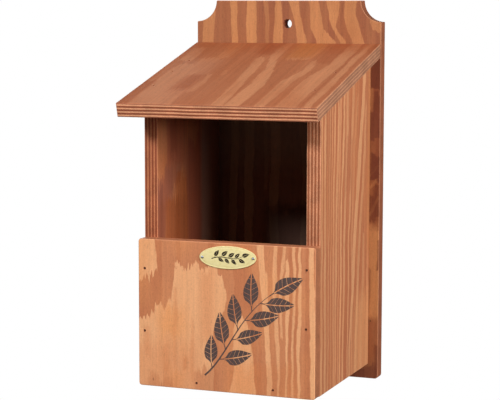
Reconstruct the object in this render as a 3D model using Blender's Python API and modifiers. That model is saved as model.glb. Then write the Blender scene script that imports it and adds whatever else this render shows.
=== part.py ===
"""Half-open bird nest box of stained plywood, to hang on a wall or a tree.

A tall back board with a hanging hole carries two side panels, a floor, a low front board
and a sloping roof. Brads hold the boards together, and an oval brass plate is pinned to
the front. Metres, +Z up. The front faces -Y, the back board's rear face lies in the plane
y = 0, and z = 0 is the underside of the box.
"""

import math

import bmesh
import bpy
from mathutils import Matrix, Vector

# The sheet and how the boards fit
BOARD_THICKNESS = 0.012
ARRIS_RADIUS = 0.0007
SEAT_GAP = 0.0003
CUT_OVERRUN = 0.002
WELD_DISTANCE = 0.00001

# Box below the roof: its width over the side panels, and its height at the rear, roof included
BOX_WIDTH = 0.1535
BOX_HEIGHT = 0.281
SIDE_DEPTH = 0.135
FRONT_HEIGHT = 0.123
FRONT_OVERHANG = 0.0004
FRONT_CORNER_RADIUS = 0.0024

# Back board: it shows on both sides of the box, below it and above the roof
BACK_MARGIN = 0.00875
BACK_TAIL = 0.013
BACK_RISE = 0.037
SCALLOP_RADIUS = 0.0183
BACK_CORNER_RADIUS = 0.0028
HANGING_HOLE_DIAMETER = 0.008
HANGING_HOLE_DROP = 0.0202

# Roof: as wide as the back board, nailed on a little to the left, with an eave at the front
ROOF_EAVE = 0.0227
ROOF_SHIFT = 0.0006
ROOF_SLOPE = math.radians(15.0)

# Brads, with the room that is left round them and the depth that their heads are sunk
BRAD_SHANK_DIAMETER = 0.0012
BRAD_HEAD_RIM = 0.0002
BRAD_HEAD_HEIGHT = 0.0006
BRAD_LENGTH = 0.030
BRAD_POINT_LENGTH = 0.002
BRAD_SINK = 0.0006
BRAD_CLEARANCE = 0.0003

# Where the brads stand. The first share of each pair is of the board that they are driven
# along, and the second is of the thickness that they are driven into, off its middle.
FRONT_LEFT_SHARES = ((0.376, -0.08), (0.80, -0.06))
FRONT_RIGHT_SHARES = ((0.463, -0.13), (0.852, -0.11))
FRONT_FLOOR_SHARES = ((-0.197, -0.03), (0.319, -0.06))
ROOF_LEFT_SHARES = ((0.323, 0.0), (0.502, -0.20), (0.73, -0.21))
ROOF_RIGHT_SHARES = ((0.48, 0.01), (0.757, -0.15))
BACK_LEFT_SHARES = ((0.16, 0.05), (0.50, -0.08), (0.86, 0.0))
BACK_RIGHT_SHARES = ((0.17, -0.06), (0.49, 0.07), (0.85, 0.02))
BACK_FLOOR_SHARES = ((-0.27, 0.04), (0.26, -0.03))

# Oval plate and its two pins
PLATE_WIDTH = 0.0495
PLATE_HEIGHT = 0.0188
PLATE_THICKNESS = 0.0007
PLATE_SIDE_OFFSET = 0.0024
PLATE_TOP_MARGIN = 0.0022
PLATE_TILT = math.radians(1.3)
PLATE_PIN_INSET = 0.0027
PIN_SHANK_DIAMETER = 0.0010
PIN_HEAD_DIAMETER = 0.0022
PIN_HEAD_HEIGHT = 0.0007
PIN_LENGTH = 0.009
PIN_POINT_LENGTH = 0.0015

# Fineness of round shapes
SCALLOP_STEPS = 14
CORNER_STEPS = 5
ARRIS_SEGMENTS = 2
OVAL_STEPS = 64
HOLE_SIDES = 40
BRAD_SIDES = 10
PIN_SIDES = 16
DOME_STEPS = 4
FLAT_ANGLE = math.radians(1.0)
ARRIS_ANGLE = math.radians(40.0)
RIM_ANGLE = math.radians(50.0)

# Planes that the boards share
BACK_FRONT_Y = -BOARD_THICKNESS
SIDE_REAR_Y = BACK_FRONT_Y - SEAT_GAP
SIDE_FRONT_Y = SIDE_REAR_Y - SIDE_DEPTH
FRONT_REAR_Y = SIDE_FRONT_Y - SEAT_GAP
FRONT_FACE_Y = FRONT_REAR_Y - BOARD_THICKNESS
SIDE_MIDDLE_X = (BOX_WIDTH - BOARD_THICKNESS) / 2
FLOOR_WIDTH = BOX_WIDTH - 2 * (BOARD_THICKNESS + SEAT_GAP)
FLOOR_MIDDLE_Z = BOARD_THICKNESS / 2

# Sizes of the boards that cover the box
FRONT_WIDTH = BOX_WIDTH + 2 * FRONT_OVERHANG
BACK_WIDTH = BOX_WIDTH + 2 * BACK_MARGIN
BACK_HEIGHT = BACK_TAIL + BOX_HEIGHT + BACK_RISE
ROOF_LENGTH = (ROOF_EAVE + SIDE_REAR_Y - FRONT_FACE_Y) / math.cos(ROOF_SLOPE)

# Ways to stand a board up: its outline faces forward, or faces sideways
FACING_FORWARD = (math.pi / 2, 0, 0)
FACING_SIDEWAYS = (math.pi / 2, 0, math.pi / 2)
LYING_FLAT = (0, 0, 0)


def clear_scene():
    """Empty the scene."""
    for item in list(bpy.data.objects):
        bpy.data.objects.remove(item, do_unlink=True)


def new_collection(name):
    """A collection of that name, linked to the scene."""
    collection = bpy.data.collections.new(name)
    bpy.context.scene.collection.children.link(collection)
    return collection


def new_material(name, colour, roughness, metallic=0.0):
    """A Principled material of one colour."""
    material = bpy.data.materials.new(name)
    material.use_nodes = True
    shader = material.node_tree.nodes["Principled BSDF"]
    shader.inputs["Base Color"].default_value = (*colour, 1)
    shader.inputs["Roughness"].default_value = roughness
    shader.inputs["Metallic"].default_value = metallic
    return material


def arc(centre, radius, start, end, steps):
    """Points on an arc round the centre, from the start angle to the end angle in degrees."""
    angles = [math.radians(start + (end - start) * step / steps) for step in range(steps + 1)]
    return [(centre[0] + radius * math.cos(angle), centre[1] + radius * math.sin(angle)) for angle in angles]


def rounded_rectangle(width, height, radius):
    """Outline of a board with rounded corners, centred across, standing on its lower edge."""
    half = width / 2
    corners = (
        ((-half + radius, radius), 180),
        ((half - radius, radius), 270),
        ((half - radius, height - radius), 0),
        ((-half + radius, height - radius), 90),
    )
    outline = []
    for centre, start in corners:
        outline += arc(centre, radius, start, start + 90, CORNER_STEPS)
    return outline


def back_outline():
    """Back board: rounded lower corners, and upper corners cut out in quarter circles."""
    half = BACK_WIDTH / 2
    radius = BACK_CORNER_RADIUS
    outline = arc((-half + radius, radius), radius, 180, 270, CORNER_STEPS)
    outline += arc((half - radius, radius), radius, 270, 360, CORNER_STEPS)
    outline += arc((half, BACK_HEIGHT), SCALLOP_RADIUS, 270, 180, SCALLOP_STEPS)
    outline += arc((-half, BACK_HEIGHT), SCALLOP_RADIUS, 360, 270, SCALLOP_STEPS)
    return outline


def roof_underside(y):
    """Height of the roof's lower face at a distance in front of the wall plane."""
    rear = BOX_HEIGHT - BOARD_THICKNESS / math.cos(ROOF_SLOPE)
    return rear + (y - SIDE_REAR_Y) * math.tan(ROOF_SLOPE)


def roof_point(x, along):
    """A point on the roof's upper face, a distance down the slope from its rear edge."""
    return Vector((
        x,
        SIDE_REAR_Y - along * math.cos(ROOF_SLOPE),
        BOX_HEIGHT - along * math.sin(ROOF_SLOPE),
    ))


def roof_profile():
    """Roof seen from the side: its rear edge is bevelled upright, its front edge is square."""
    front_top = roof_point(0, ROOF_LENGTH)
    down = Vector((0, math.sin(ROOF_SLOPE), -math.cos(ROOF_SLOPE)))
    front_bottom = front_top + BOARD_THICKNESS * down
    return [
        (SIDE_REAR_Y, BOX_HEIGHT),
        (front_top.y, front_top.z),
        (front_bottom.y, front_bottom.z),
        (SIDE_REAR_Y, roof_underside(SIDE_REAR_Y)),
    ]


def side_profile():
    """Side panel seen from the side: its top follows the roof."""
    gap = SEAT_GAP / math.cos(ROOF_SLOPE)
    return [
        (SIDE_REAR_Y, 0),
        (SIDE_REAR_Y, roof_underside(SIDE_REAR_Y) - gap),
        (SIDE_FRONT_Y, roof_underside(SIDE_FRONT_Y) - gap),
        (SIDE_FRONT_Y, 0),
    ]


def mesh_from_curve(curve, name):
    """Turn a curve object into a mesh object in the same place, with welded, flat faces."""
    bpy.context.view_layer.update()
    evaluated = curve.evaluated_get(bpy.context.evaluated_depsgraph_get())
    mesh = bpy.data.meshes.new_from_object(evaluated)
    solid = bpy.data.objects.new(name, mesh)
    solid.matrix_world = curve.matrix_world
    bpy.data.objects.remove(curve, do_unlink=True)
    bm = bmesh.new()
    bm.from_mesh(mesh)
    bmesh.ops.remove_doubles(bm, verts=bm.verts, dist=WELD_DISTANCE)
    bmesh.ops.dissolve_limit(bm, angle_limit=FLAT_ANGLE, verts=bm.verts, edges=bm.edges)
    bmesh.ops.recalc_face_normals(bm, faces=bm.faces)
    bm.to_mesh(mesh)
    bm.free()
    mesh.name = name
    return solid


def extruded(name, outline, thickness, location, rotation):
    """A flat outline given a thickness: half of it on each side of the location."""
    curve_data = bpy.data.curves.new(name, "CURVE")
    curve_data.dimensions = "2D"
    curve_data.fill_mode = "BOTH"
    curve_data.extrude = thickness / 2
    spline = curve_data.splines.new("POLY")
    spline.points.add(len(outline) - 1)
    spline.use_cyclic_u = True
    for point, (across, up) in zip(spline.points, outline):
        point.co = (across, up, 0, 1)
    curve = bpy.data.objects.new(name + "_outline", curve_data)
    bpy.context.scene.collection.objects.link(curve)
    curve.location = location
    curve.rotation_euler = rotation
    return mesh_from_curve(curve, name)


def ease_arrises(item, width):
    """Round the sharp arrises of a board, as sanding does."""
    bevel = item.modifiers.new("eased_arrises", "BEVEL")
    bevel.width = width
    bevel.segments = ARRIS_SEGMENTS
    bevel.limit_method = "ANGLE"
    bevel.angle_limit = ARRIS_ANGLE


def board(name, outline, thickness, location, rotation, collection, material):
    """A board with eased arrises and its own material."""
    item = extruded(name, outline, thickness, location, rotation)
    item.data.materials.append(material)
    collection.objects.link(item)
    ease_arrises(item, ARRIS_RADIUS)
    return item


def cut(item, cutter):
    """Take the cutter's shape out of a piece."""
    boolean = item.modifiers.new("cut_" + cutter.name, "BOOLEAN")
    boolean.operation = "DIFFERENCE"
    boolean.solver = "EXACT"
    boolean.object = cutter


def turned_mesh(name, profile, sides):
    """A turned shape: its half profile, from top to bottom, swept round the local Z axis."""
    bm = bmesh.new()
    points = [bm.verts.new((radius, 0, height)) for radius, height in profile]
    for upper, lower in zip(points, points[1:]):
        bm.edges.new((upper, lower))
    half_profile = bpy.data.meshes.new(name + "_profile")
    bm.to_mesh(half_profile)
    bm.free()
    turned = bpy.data.objects.new(name + "_turned", half_profile)
    bpy.context.scene.collection.objects.link(turned)
    screw = turned.modifiers.new("turned", "SCREW")
    screw.axis = "Z"
    screw.steps = sides
    screw.render_steps = sides
    screw.use_merge_vertices = True
    screw.merge_threshold = WELD_DISTANCE
    bpy.context.view_layer.update()
    evaluated = turned.evaluated_get(bpy.context.evaluated_depsgraph_get())
    mesh = bpy.data.meshes.new_from_object(evaluated)
    bpy.data.objects.remove(turned, do_unlink=True)
    mesh.name = name
    return mesh


def smooth(mesh):
    """Shade a turned piece smooth, apart from its sharp rims."""
    mesh.shade_smooth()
    mesh.set_sharp_from_angle(angle=RIM_ANGLE)


def copies(name, mesh, places):
    """One object that holds a separate copy of the mesh at each place."""
    bm = bmesh.new()
    for place in places:
        placed = mesh.copy()
        placed.transform(place)
        bm.from_mesh(placed)
        bpy.data.meshes.remove(placed)
    joined = bpy.data.meshes.new(name)
    bm.to_mesh(joined)
    bm.free()
    return bpy.data.objects.new(name, joined)


def driven(entry, direction):
    """Placement of a fastener: its head at the entry point and its shank along the direction."""
    turn = (-Vector(direction)).to_track_quat("Z", "X")
    return Matrix.Translation(Vector(entry)) @ turn.to_matrix().to_4x4()


def brad_profile():
    """Half profile of a brad, measured from the surface of the board that it is driven into."""
    head_top = -BRAD_SINK
    head_bottom = head_top - BRAD_HEAD_HEIGHT
    tip = head_top - BRAD_LENGTH
    shank_radius = BRAD_SHANK_DIAMETER / 2
    head_radius = shank_radius + BRAD_HEAD_RIM
    return [
        (0, head_top),
        (head_radius, head_top),
        (head_radius, head_bottom),
        (shank_radius, head_bottom),
        (shank_radius, tip + BRAD_POINT_LENGTH),
        (0, tip),
    ]


def brad_bore_profile():
    """Half profile of the hole that a brad leaves, wider all round by the clearance."""
    shoulder = -BRAD_SINK - BRAD_HEAD_HEIGHT - SEAT_GAP
    end = -BRAD_SINK - BRAD_LENGTH - SEAT_GAP
    shank_radius = BRAD_SHANK_DIAMETER / 2 + BRAD_CLEARANCE
    head_radius = shank_radius + BRAD_HEAD_RIM
    return [
        (0, CUT_OVERRUN),
        (head_radius, CUT_OVERRUN),
        (head_radius, shoulder),
        (shank_radius, shoulder),
        (shank_radius, end),
        (0, end),
    ]


def off_middle(middle, aside):
    """A place in a board's thickness: its middle, moved by a share of the thickness."""
    return middle + BOARD_THICKNESS * aside


def brad_rows():
    """Each joint's brads: the row's name, the two boards, the entry points and the direction."""
    into_box = (0, 1, 0)
    from_wall = (0, -1, 0)
    through_roof = (0, math.sin(ROOF_SLOPE), -math.cos(ROOF_SLOPE))
    side_height = roof_underside(SIDE_REAR_Y)
    rows = []
    for side, middle_x, front_shares, roof_shares, back_shares in (
        ("left_side", -SIDE_MIDDLE_X, FRONT_LEFT_SHARES, ROOF_LEFT_SHARES, BACK_LEFT_SHARES),
        ("right_side", SIDE_MIDDLE_X, FRONT_RIGHT_SHARES, ROOF_RIGHT_SHARES, BACK_RIGHT_SHARES),
    ):
        front_points = [
            (off_middle(middle_x, aside), FRONT_FACE_Y, FRONT_HEIGHT * up) for up, aside in front_shares
        ]
        roof_points = [
            roof_point(off_middle(middle_x, aside), ROOF_LENGTH * along) for along, aside in roof_shares
        ]
        back_points = [
            (off_middle(middle_x, aside), 0, side_height * up) for up, aside in back_shares
        ]
        rows.append((f"brad_front_to_{side}", ("front_board", side), front_points, into_box))
        rows.append((f"brad_roof_to_{side}", ("roof_board", side), roof_points, through_roof))
        rows.append((f"brad_back_to_{side}", ("back_board", side), back_points, from_wall))
    for board_name, face_y, shares, direction in (
        ("front_board", FRONT_FACE_Y, FRONT_FLOOR_SHARES, into_box),
        ("back_board", 0, BACK_FLOOR_SHARES, from_wall),
    ):
        points = [
            (FLOOR_WIDTH * along, face_y, off_middle(FLOOR_MIDDLE_Z, aside)) for along, aside in shares
        ]
        row_name = "brad_" + board_name.removesuffix("_board") + "_to_floor"
        rows.append((row_name, (board_name, "floor_board"), points, direction))
    return rows


def make_boards(parts, wood):
    """The six boards, by name."""
    middle = BOARD_THICKNESS / 2
    floor_outline = [
        (-FLOOR_WIDTH / 2, SIDE_FRONT_Y),
        (FLOOR_WIDTH / 2, SIDE_FRONT_Y),
        (FLOOR_WIDTH / 2, SIDE_REAR_Y),
        (-FLOOR_WIDTH / 2, SIDE_REAR_Y),
    ]
    front_outline = rounded_rectangle(FRONT_WIDTH, FRONT_HEIGHT, FRONT_CORNER_RADIUS)
    plans = (
        ("back_board", back_outline(), BOARD_THICKNESS, (0, -middle, -BACK_TAIL), FACING_FORWARD),
        ("left_side", side_profile(), BOARD_THICKNESS, (-SIDE_MIDDLE_X, 0, 0), FACING_SIDEWAYS),
        ("right_side", side_profile(), BOARD_THICKNESS, (SIDE_MIDDLE_X, 0, 0), FACING_SIDEWAYS),
        ("floor_board", floor_outline, BOARD_THICKNESS, (0, 0, FLOOR_MIDDLE_Z), LYING_FLAT),
        ("front_board", front_outline, BOARD_THICKNESS, (0, FRONT_REAR_Y - middle, 0), FACING_FORWARD),
        ("roof_board", roof_profile(), BACK_WIDTH, (-ROOF_SHIFT, 0, 0), FACING_SIDEWAYS),
    )
    return {
        name: board(name, outline, thickness, location, rotation, parts, wood[name])
        for name, outline, thickness, location, rotation in plans
    }


def make_hanging_hole(boards, cutters):
    """The round hole near the top of the back board, right through it."""
    bm = bmesh.new()
    depth = BOARD_THICKNESS + 2 * CUT_OVERRUN
    centre = Vector((0, -BOARD_THICKNESS / 2, BACK_HEIGHT - BACK_TAIL - HANGING_HOLE_DROP))
    place = Matrix.Translation(centre) @ Matrix.Rotation(math.pi / 2, 4, "X")
    radius = HANGING_HOLE_DIAMETER / 2
    bmesh.ops.create_cone(
        bm, cap_ends=True, segments=HOLE_SIDES, radius1=radius, radius2=radius, depth=depth, matrix=place
    )
    mesh = bpy.data.meshes.new("hanging_hole")
    bm.to_mesh(mesh)
    bm.free()
    cutter = bpy.data.objects.new("hanging_hole", mesh)
    add_cutter(cutter, cutters)
    cut(boards["back_board"], cutter)


def add_cutter(cutter, cutters):
    """Keep a cutting shape with the other cutters, shown as wire and never rendered."""
    cutter.display_type = "WIRE"
    cutter.hide_render = True
    cutters.objects.link(cutter)


def make_brads(boards, parts, cutters, steel):
    """The brads, each its own object on one shared mesh, and the holes that they leave."""
    brad = turned_mesh("brad", brad_profile(), BRAD_SIDES)
    brad.materials.append(steel)
    smooth(brad)
    bore = turned_mesh("brad_bore", brad_bore_profile(), BRAD_SIDES)
    bore_places = {name: [] for name in boards}
    for row_name, pinned, points, direction in brad_rows():
        for number, point in enumerate(points, start=1):
            place = driven(point, direction)
            fastener = bpy.data.objects.new(f"{row_name}_{number}", brad)
            fastener.matrix_world = place
            parts.objects.link(fastener)
            for board_name in pinned:
                bore_places[board_name].append(place)
    for name, places in bore_places.items():
        cutter = copies(name + "_brad_bores", bore, places)
        add_cutter(cutter, cutters)
        cut(boards[name], cutter)


def make_plate(boards, parts, cutters, brass, steel):
    """The oval plate on the front board and the two dome-headed pins through its ends."""
    rear_y = FRONT_FACE_Y - SEAT_GAP
    centre_z = FRONT_HEIGHT - PLATE_TOP_MARGIN - PLATE_HEIGHT / 2
    centre = Vector((PLATE_SIDE_OFFSET, rear_y - PLATE_THICKNESS / 2, centre_z))
    angles = [math.tau * step / OVAL_STEPS for step in range(OVAL_STEPS)]
    oval = [(PLATE_WIDTH / 2 * math.cos(angle), PLATE_HEIGHT / 2 * math.sin(angle)) for angle in angles]
    plate = extruded("name_plate", oval, PLATE_THICKNESS, centre, (math.pi / 2, -PLATE_TILT, 0))
    plate.data.materials.append(brass)
    parts.objects.link(plate)

    under_head = PLATE_THICKNESS + 2 * SEAT_GAP
    head_radius = PIN_HEAD_DIAMETER / 2
    shank_radius = PIN_SHANK_DIAMETER / 2
    dome = [
        (
            head_radius * math.sin(math.pi / 2 * step / DOME_STEPS),
            under_head + PIN_HEAD_HEIGHT * math.cos(math.pi / 2 * step / DOME_STEPS),
        )
        for step in range(DOME_STEPS + 1)
    ]
    tip = under_head - PIN_LENGTH
    profile = dome + [(shank_radius, under_head), (shank_radius, tip + PIN_POINT_LENGTH), (0, tip)]
    bore_radius = shank_radius + BRAD_CLEARANCE
    bore_profile = [
        (0, under_head + CUT_OVERRUN),
        (bore_radius, under_head + CUT_OVERRUN),
        (bore_radius, tip - SEAT_GAP),
        (0, tip - SEAT_GAP),
    ]
    pin = turned_mesh("plate_pin", profile, PIN_SIDES)
    pin.materials.append(steel)
    smooth(pin)
    bore = turned_mesh("plate_pin_bore", bore_profile, PIN_SIDES)
    reach = PLATE_WIDTH / 2 - PLATE_PIN_INSET
    places = []
    for hand, sign in (("left", -1), ("right", 1)):
        offset = Vector((sign * reach * math.cos(PLATE_TILT), 0, sign * reach * math.sin(PLATE_TILT)))
        entry = Vector((centre.x, FRONT_FACE_Y, centre.z)) + offset
        place = driven(entry, (0, 1, 0))
        places.append(place)
        item = bpy.data.objects.new("plate_pin_" + hand, pin)
        item.matrix_world = place
        parts.objects.link(item)
    cutter = copies("plate_pin_bores", bore, places)
    add_cutter(cutter, cutters)
    cut(plate, cutter)
    cut(boards["front_board"], cutter)


def main():
    """Build the nest box."""
    clear_scene()
    parts = new_collection("bird_nest_box")
    cutters = new_collection("cutters")
    wood = {
        "back_board": new_material("back_board_plywood", (0.52, 0.21, 0.095), 0.62),
        "left_side": new_material("left_side_plywood", (0.50, 0.20, 0.090), 0.62),
        "right_side": new_material("right_side_plywood", (0.56, 0.24, 0.110), 0.62),
        "floor_board": new_material("floor_board_plywood", (0.46, 0.18, 0.080), 0.66),
        "front_board": new_material("front_board_plywood", (0.64, 0.30, 0.150), 0.60),
        "roof_board": new_material("roof_board_plywood", (0.48, 0.18, 0.080), 0.64),
    }
    steel = new_material("brad_steel", (0.16, 0.12, 0.10), 0.55, 0.8)
    pin_steel = new_material("pin_steel", (0.62, 0.63, 0.66), 0.28, 1.0)
    brass = new_material("plate_brass", (0.79, 0.72, 0.31), 0.32, 0.9)
    boards = make_boards(parts, wood)
    make_hanging_hole(boards, cutters)
    make_brads(boards, parts, cutters, steel)
    make_plate(boards, parts, cutters, brass, pin_steel)


main()
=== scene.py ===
"""Half-open bird nest box of stained plywood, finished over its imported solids.

The six boards keep their solids and get plywood materials: face veneers with grain figure,
edges with nine plies. Brads, the oval plate, its pins and the prints are made here with
Geometry Nodes. Metres, +Z up, the front faces -Y.
"""

import math

import bmesh
import bpy
from bpy.props import FloatProperty, FloatVectorProperty, IntProperty, PointerProperty
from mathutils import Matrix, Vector


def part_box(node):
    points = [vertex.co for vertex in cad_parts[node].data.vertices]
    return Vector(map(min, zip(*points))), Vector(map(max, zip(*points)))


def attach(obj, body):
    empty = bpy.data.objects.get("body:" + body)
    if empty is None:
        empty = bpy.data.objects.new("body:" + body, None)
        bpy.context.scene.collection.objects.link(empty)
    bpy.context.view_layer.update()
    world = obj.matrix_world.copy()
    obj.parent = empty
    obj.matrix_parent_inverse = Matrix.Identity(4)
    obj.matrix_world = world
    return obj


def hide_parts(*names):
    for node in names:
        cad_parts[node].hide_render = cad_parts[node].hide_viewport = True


bl_info = {
    "name": "Plywood Nest Box",
    "version": (1, 0, 0),
    "blender": (4, 5, 0),
    "location": "View3D > Sidebar > Nest Box",
    "description": "Finishes a half-open nest box of stained plywood and sets up its studio",
    "category": "Object",
}

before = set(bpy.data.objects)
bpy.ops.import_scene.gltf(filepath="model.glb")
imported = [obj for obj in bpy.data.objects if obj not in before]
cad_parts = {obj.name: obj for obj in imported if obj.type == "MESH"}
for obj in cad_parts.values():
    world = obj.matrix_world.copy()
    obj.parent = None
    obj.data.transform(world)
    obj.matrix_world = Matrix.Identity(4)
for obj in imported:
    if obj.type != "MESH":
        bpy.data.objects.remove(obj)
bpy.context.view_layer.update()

MM = 0.001
ROOF_SLOPE = math.radians(15.0)
ROOF_DOWN = (0, -math.cos(ROOF_SLOPE), -math.sin(ROOF_SLOPE))
ROOF_OUT = (0, -math.sin(ROOF_SLOPE), math.cos(ROOF_SLOPE))
FACE_LOW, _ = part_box("front_board")
PLATE_LOW, PLATE_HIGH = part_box("name_plate")
PIN_SEATS = {"Pin Left": "plate_pin_left", "Pin Right": "plate_pin_right"}

# The photograph's camera, and the point that the lights look at. Angles in degrees
CAMERA_PLACE = (0.4922, -1.3963, 0.3130)
CAMERA_TURN = (83.361, -0.095, 20.857)
CAMERA_LENS = 119.886
LIT_POINT = Vector((0, -0.08, 0.15))

# Node kinds that are used most
MATH = "ShaderNodeMath"
VECTOR_MATH = "ShaderNodeVectorMath"
SPLIT = "ShaderNodeSeparateXYZ"
JOIN = "ShaderNodeCombineXYZ"
RANGE = "ShaderNodeMapRange"
MIX = "ShaderNodeMix"
NOISE = "ShaderNodeTexNoise"
BUMP = "ShaderNodeBump"
GROUP = "ShaderNodeGroup"
CUBE = "GeometryNodeMeshCube"
POSITION = "GeometryNodeInputPosition"
SET_POSITION = "GeometryNodeSetPosition"
TRANSFORM = "GeometryNodeTransform"
ON_POINTS = "GeometryNodeInstanceOnPoints"
ON_CURVE = "GeometryNodeSampleCurve"
REALIZE = "GeometryNodeRealizeInstances"
RANDOM = "FunctionNodeRandomValue"

# Reach of the streak tables in mm: across the grain from -100 to 100 or from 0 to 200, along it
# from -40 to 360. A streak that ends on its board is closed a little past its last row, where its
# edges cross.
ALONG_LOW = -40.0
ALONG_REACH = 400.0
ACROSS_REACH = 200.0
CLOSING = 1.6
CROSSING = 3.0

# How far noise pushes the figure off its table, in mm: across the grain slowly and quickly, and
# along it where washes end
SWAY = 5.0
TREMBLE = 2.4
CROOKEDNESS = 18.0

# Strengths of the face's shading. The loss is what fibres and mottle take from 1 on average.
FAINT_FLAMES = 0.16
FIBRE_SHADE = 0.26
MOTTLE_SHADE = 0.44
SHADE_LOSS = 0.34

# In mm: how far the plies wave, half the sheet, how deep a mark goes, how soft the inside's limit is
PLY_WAVE = 0.7
HALF_SHEET = 6.0
MARK_DEPTH = 3.0
INSIDE_BLUR = 0.5

# Light streaks of the face veneers, read one by one: tone, then (along, left, right) in mm.
# Front board: across is x, along is z.
FRONT_STREAKS = (
    (1.0, (88, -80, -73), (92, -80, -68), (96, -80, -60), (110, -80, -60.5), (126, -80, -62)),
    (1.0, (-10, -80, -9), (23, -80, -10), (50, -80, -10), (56, -80, -7), (57, -71, -6), (62, -66, -4),
     (64, -63, -3), (67, -60.5, -1), (69.5, -51, -1), (75, -48.8, 0), (82, -47.5, 0), (88, -46, -1),
     (100, -45, -3)),
    (1.0, (100, -45, -37.5), (105, -44.5, -38.5)),
    (1.0, (100, -31, -21), (102, -29, -22)),
    (1.0, (98, -17, -7), (106, -16.4, -7)),
    (1.0, (-10, 3, 28), (0, 3.5, 27), (12, 6, 25.5), (25, 8, 24), (32, 6.7, 24), (50, 7, 22), (66, 11, 18)),
    (1.0, (-10, 36.5, 40), (10, 36, 40.5), (25, 35, 39), (50, 34, 38), (67, 32.5, 38.5), (85, 31.5, 37.5),
     (100, 30, 37), (108, 28.5, 34), (126, 26, 31.5)),
    (0.85, (-10, 44.5, 47), (10, 45, 47), (40, 43, 46.5), (70, 42, 45.5), (100, 41, 44.7), (126, 41.5, 44.5)),
    (0.75, (48, 47.5, 49.5), (75, 47, 49.6), (100, 47.5, 49.8), (110, 48.5, 51), (126, 49.5, 52)),
    (1.0, (-10, 52, 54), (10, 52, 53.7), (50, 51.8, 54.3), (75, 52, 55), (100, 51, 54), (112, 51.5, 53)),
    (0.85, (-10, 57, 59.3), (50, 57.4, 59.2), (100, 57.6, 60), (126, 56.5, 58.7)),
    (0.95, (-10, 62.7, 64.6), (25, 62.5, 65), (50, 61.8, 65), (100, 61.8, 64.6), (126, 62, 64)),
    (1.0, (-10, 73.5, 78), (50, 72.7, 78), (75, 72, 77), (100, 71.2, 75.5), (126, 70.5, 74.3)),
)
# Back board: across is x, along is z. The streaks run on down behind the box.
BACK_STREAKS = (
    (0.75, (-20, -82, -72), (230, -80, -70), (330, -81, -69)),
    (1.0, (-20, -60, -52), (90, -56, -49), (200, -52, -45), (285, -53, -46.6), (330, -55.4, -48.5)),
    (1.0, (-20, -34, -27), (120, -41, -33), (285, -38.5, -29), (330, -38, -29)),
    (0.5, (150, -22, -19), (285, -21.6, -18), (330, -21.6, -17)),
    (0.9, (-20, -14, -5), (140, -17, -8), (285, -13.5, -3.5), (318, -11, -6), (330, -11, -6)),
    (0.85, (-20, 12, 21), (160, 14, 23), (282, 10, 18), (293, 8.4, 15), (305, 5.3, 12), (318, 0, 10),
     (330, -2, 9)),
    (0.8, (-20, 33, 42), (150, 28, 41), (282, 27, 44.6), (293, 21, 33), (318, 19.6, 28.4), (330, 19, 28)),
    (0.9, (-20, 52, 57), (180, 54, 60), (282, 49, 53.4), (295, 41, 44.6), (305, 37.8, 47), (318, 35, 47.8),
     (330, 34, 48)),
    (0.85, (265, 63, 73), (282, 59.6, 70), (293, 55, 66), (305, 52, 62.8), (318, 52.8, 64), (330, 53, 64)),
    (0.6, (292, 78, 90), (302, 75, 90)),
    (0.75, (222, 74, 80.5), (243, 75, 79)),
    (0.45, (186, 78, 82), (215, 80, 84)),
    (1.0, (166, 75, 77.5), (176, 83, 86)),
    (0.8, (156, 75, 78.5), (164, 82, 87)),
    (1.0, (132, 75, 77.5), (149, 84, 87)),
    (0.6, (42, 77, 82), (80, 78, 83), (118, 80, 86)),
)
# Right side, outer face: across is the distance from the wall, along is z.
RIGHT_STREAKS = (
    (0.9, (-20, 66, 70), (30, 64.5, 69), (118, 50, 59.5), (235, 29.5, 38), (280, 22, 31)),
    (0.7, (-20, 47, 54), (30, 46.5, 53), (75, 43, 49), (118, 38, 44), (158, 31, 38), (190, 26, 32),
     (230, 24, 28)),
    (0.6, (-20, 33, 40), (30, 32, 38), (75, 27, 33), (118, 27, 32)),
    (0.5, (-20, 57, 60), (118, 62, 66), (200, 54, 60), (240, 48, 53)),
    (0.7, (-20, 72, 75), (30, 72, 75), (118, 70, 74), (180, 64, 69), (235, 60, 66), (280, 55, 62)),
    (0.8, (-20, 85, 90), (30, 85, 89), (118, 81, 87), (180, 79, 83), (210, 75, 81), (280, 74, 82)),
    (1.0, (-20, 94, 98), (30, 94, 97.5), (118, 91, 95), (160, 91, 94.5), (205, 86, 91), (280, 84, 88)),
    (0.6, (-20, 100, 103), (118, 99, 101), (200, 96, 100), (280, 93, 98)),
    (0.8, (-20, 106, 109), (118, 104, 109), (190, 101, 106), (235, 100, 104)),
    (0.8, (-20, 111, 114), (30, 110.5, 114), (118, 112, 116), (235, 109, 113)),
    (0.7, (-20, 118, 121), (118, 119, 121.5), (235, 116, 119)),
    (0.8, (-20, 125, 129), (118, 124.3, 127), (235, 122, 125)),
    (1.0, (-20, 132, 137), (60, 132, 138), (118, 132.5, 138), (180, 134, 139), (235, 134, 138)),
    (0.9, (-20, 140.5, 146), (118, 141.5, 146), (235, 142, 146)),
    (0.5, (120, 128.5, 130.5), (235, 127.5, 129.5)),
    (0.55, (-20, 14, 22), (60, 14, 20), (280, 14, 19)),
)
# Left side, inner face: across is the distance from the wall, along is z.
LEFT_STREAKS = (
    (0.6, (-20, 84, 133), (122, 84, 133), (150, 86, 128), (160, 86, 117), (165, 88, 102), (178, 93, 97)),
    (0.5, (172, 131, 150), (180, 129, 150), (205, 129, 150), (222, 132, 150)),
    (0.5, (-20, 30, 46), (120, 34, 52), (260, 40, 55)),
    (0.35, (190, 80, 92), (225, 84, 90), (260, 86, 90)),
)
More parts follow.
